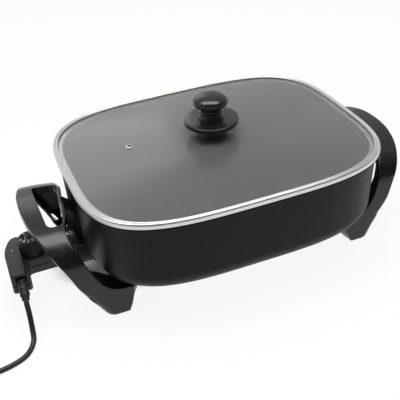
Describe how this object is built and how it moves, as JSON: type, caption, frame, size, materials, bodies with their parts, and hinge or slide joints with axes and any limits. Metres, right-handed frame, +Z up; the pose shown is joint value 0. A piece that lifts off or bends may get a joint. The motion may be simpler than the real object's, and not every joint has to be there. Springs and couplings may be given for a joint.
{
  "type": "electric skillet",
  "caption": "Rectangular electric skillet on two arched handle legs, with a rimmed glass lid that lifts off by a round knob and a plug-in dial heat control on a cord.",
  "frame": {"origin": "on the floor, below the middle of the skillet with its heat control in place", "axes": "+Z up, +X along the pan away from the heat control, -Y is the long front side in the picture"},
  "size_m": [0.7491, 0.345, 0.2348],
  "materials": {
    "coating": "dark non-stick coating, satin",
    "bare_aluminium": "bare cast aluminium",
    "element_sheath": "heat-darkened steel sheath",
    "bright_steel": "bright steel",
    "ceramic": "matt steatite",
    "phenolic": "polished phenolic moulding",
    "handle_plastic": "fine satin phenolic moulding",
    "rim_steel": "polished stainless band",
    "lid_glass": "clear toughened glass",
    "silicone": "silicone",
    "control_plastic": "fine textured heat-proof moulding",
    "brass": "plain brass",
    "zinc_plate": "zinc plated steel",
    "bimetal": "rolled bimetal strip",
    "pilot_lens": "translucent moulding",
    "lamp_glass": "clear glass",
    "relief_rubber": "soft moulded rubber",
    "cord_sheath": "smooth flexible sheath",
    "tie_strip": "soft strip"
  },
  "bodies": {
    "base": {"pan": "coating", "base_pad": "bare_aluminium", "heating_element": "element_sheath", "element_pin_near": "bright_steel", "element_pin_far": "bright_steel", "terminal_bead_near": "ceramic", "terminal_bead_far": "ceramic", "terminal_shroud": "phenolic", "shroud_screw_near": "bright_steel", "shroud_screw_far": "bright_steel", "handle_left": "handle_plastic", "handle_right": "handle_plastic", "boss_screw_left": "bright_steel", "boss_screw_right": "bright_steel", "toe_screw_left_near": "bright_steel", "toe_screw_left_far": "bright_steel", "toe_screw_right_near": "bright_steel", "toe_screw_right_far": "bright_steel"},
    "lid": {"lid_rim": "rim_steel", "lid_glass": "lid_glass", "vent_grommet": "bright_steel", "knob_spacer": "phenolic", "knob_disc": "phenolic", "lid_knob": "phenolic", "knob_gasket": "silicone", "knob_washer": "bright_steel", "knob_screw": "bright_steel"},
    "control": {"control_base": "control_plastic", "control_cover": "control_plastic", "contact_sleeve_near": "brass", "contact_sleeve_far": "brass", "sensing_probe": "bright_steel", "thermostat_frame": "zinc_plate", "insulating_block": "ceramic", "leaf_spring_near": "brass", "leaf_spring_far": "brass", "bimetal_bridge": "bimetal", "pilot_lens": "pilot_lens", "pilot_lamp": "lamp_glass", "cord_clamp": "zinc_plate", "case_screw_outer": "bright_steel", "case_screw_inner": "bright_steel", "strain_relief": "relief_rubber", "cord_run": "cord_sheath", "cord_coil": "cord_sheath", "cord_tail": "cord_sheath", "plug_body": "relief_rubber", "plug_pin_left": "bright_steel", "plug_pin_right": "bright_steel", "coil_tie": "tie_strip"},
    "dial": {"control_dial": "phenolic", "dial_shaft": "brass"}
  },
  "joints": [
    {"name": "lid_lift", "type": "slide", "parent": "base", "child": "lid", "axis": [0, 0, 1], "range_m": [0, 0.18]},
    {"name": "control_pull", "type": "slide", "parent": "base", "child": "control", "axis": [-1, 0, 0], "range_m": [0, 0.16]},
    {"name": "dial_turn", "type": "hinge", "parent": "control", "child": "dial", "pos_m": [-0.25355, 0, 0.0643], "axis": [0, 0, -1], "range_deg": [0, 290]}
  ]
}
